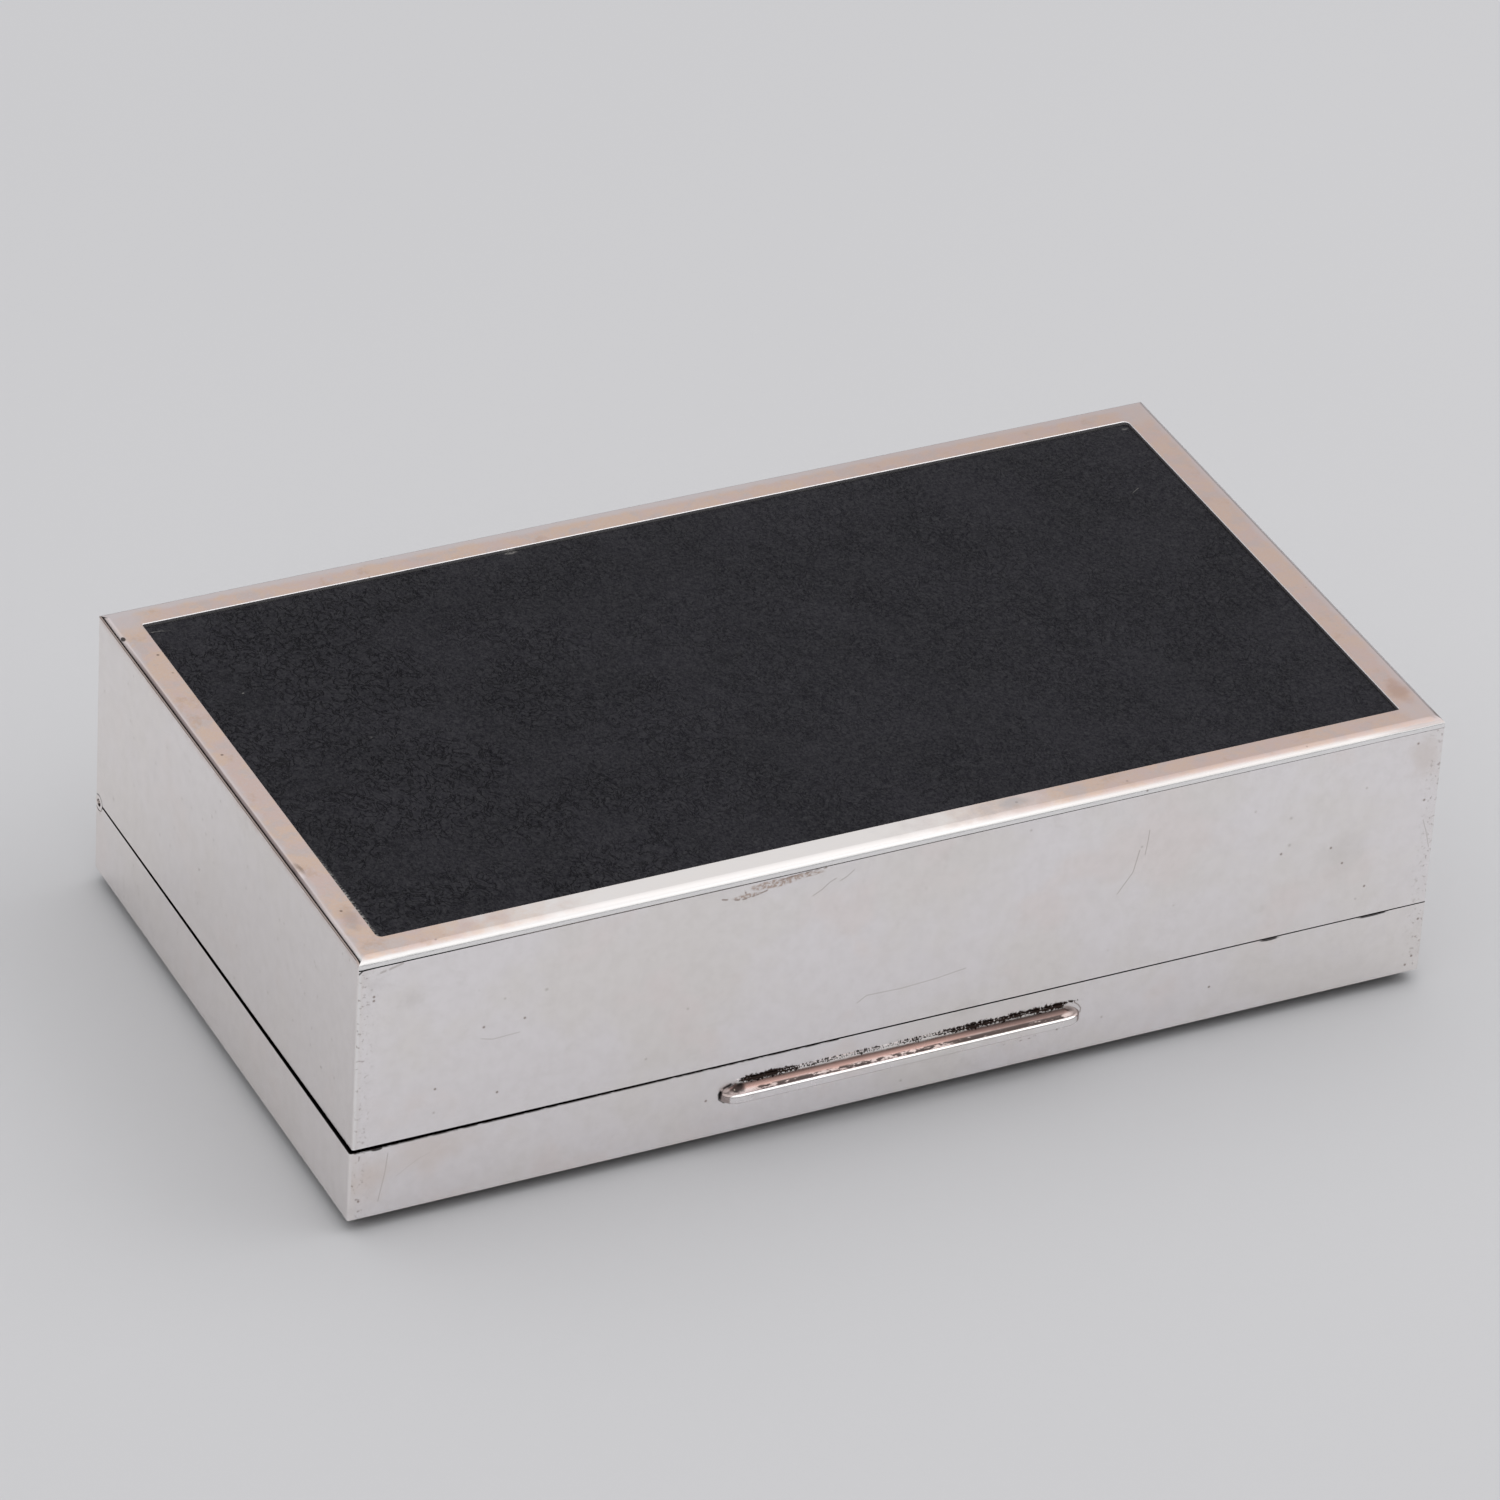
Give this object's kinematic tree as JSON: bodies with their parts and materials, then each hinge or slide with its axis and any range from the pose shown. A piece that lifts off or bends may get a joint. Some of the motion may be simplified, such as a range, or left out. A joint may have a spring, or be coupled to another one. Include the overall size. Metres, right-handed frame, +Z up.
{
  "type": "table box",
  "caption": "Rectangular silver table box resting on its shallow hinged lid: deep wood-lined case above, leather-covered base inside a silver rim, long front thumb-piece, flush back hinge.",
  "frame": {"origin": "middle of the flat field of the lid, which is the face the box rests on as pictured", "axes": "+X along the box, -Y the front with the thumb-piece, +Z up from the lid to the leather-covered base"},
  "size_m": [0.2004, 0.113, 0.0537],
  "materials": {
    "silver": "old polished silver with fine scratches, faint tarnish clouds and pits along the soldered corners",
    "hinge_silver": "drawn silver tube and wire, slightly dulled",
    "rim_silver": "silver with a mottled warm tan patina, bright along the rounded edge",
    "cedar": "bare fine-grained cedar, smooth sanded",
    "board": "bare thin board",
    "leather": "black leather with fine creased grain and a low sheen"
  },
  "bodies": {
    "lid": {"lid_panel": "silver", "lid_front_wall": "silver", "lid_back_wall": "silver", "lid_left_wall": "silver", "lid_right_wall": "silver", "thumb_piece": "silver", "lid_hinge_bearer": "hinge_silver", "lid_knuckle_1": "hinge_silver", "lid_knuckle_2": "hinge_silver", "lid_knuckle_3": "hinge_silver"},
    "case": {"case_front_wall": "silver", "case_back_wall": "silver", "case_left_wall": "silver", "case_right_wall": "silver", "case_hinge_bearer": "hinge_silver", "hinge_pin": "hinge_silver", "case_knuckle_1": "hinge_silver", "case_knuckle_2": "hinge_silver", "case_knuckle_3": "hinge_silver", "case_knuckle_4": "hinge_silver", "base_rim_front": "rim_silver", "base_rim_back": "rim_silver", "base_rim_left": "rim_silver", "base_rim_right": "rim_silver", "lining_front": "cedar", "lining_back": "cedar", "lining_left": "cedar", "lining_right": "cedar", "lining_floor": "cedar", "base_board": "board", "base_leather": "leather"}
  },
  "joints": [
    {"name": "lid_hinge", "type": "hinge", "parent": "lid", "child": "case", "pos_m": [0, 0.054, 0.01648], "axis": [-1, 0, 0], "range_deg": [0, 95]}
  ]
}
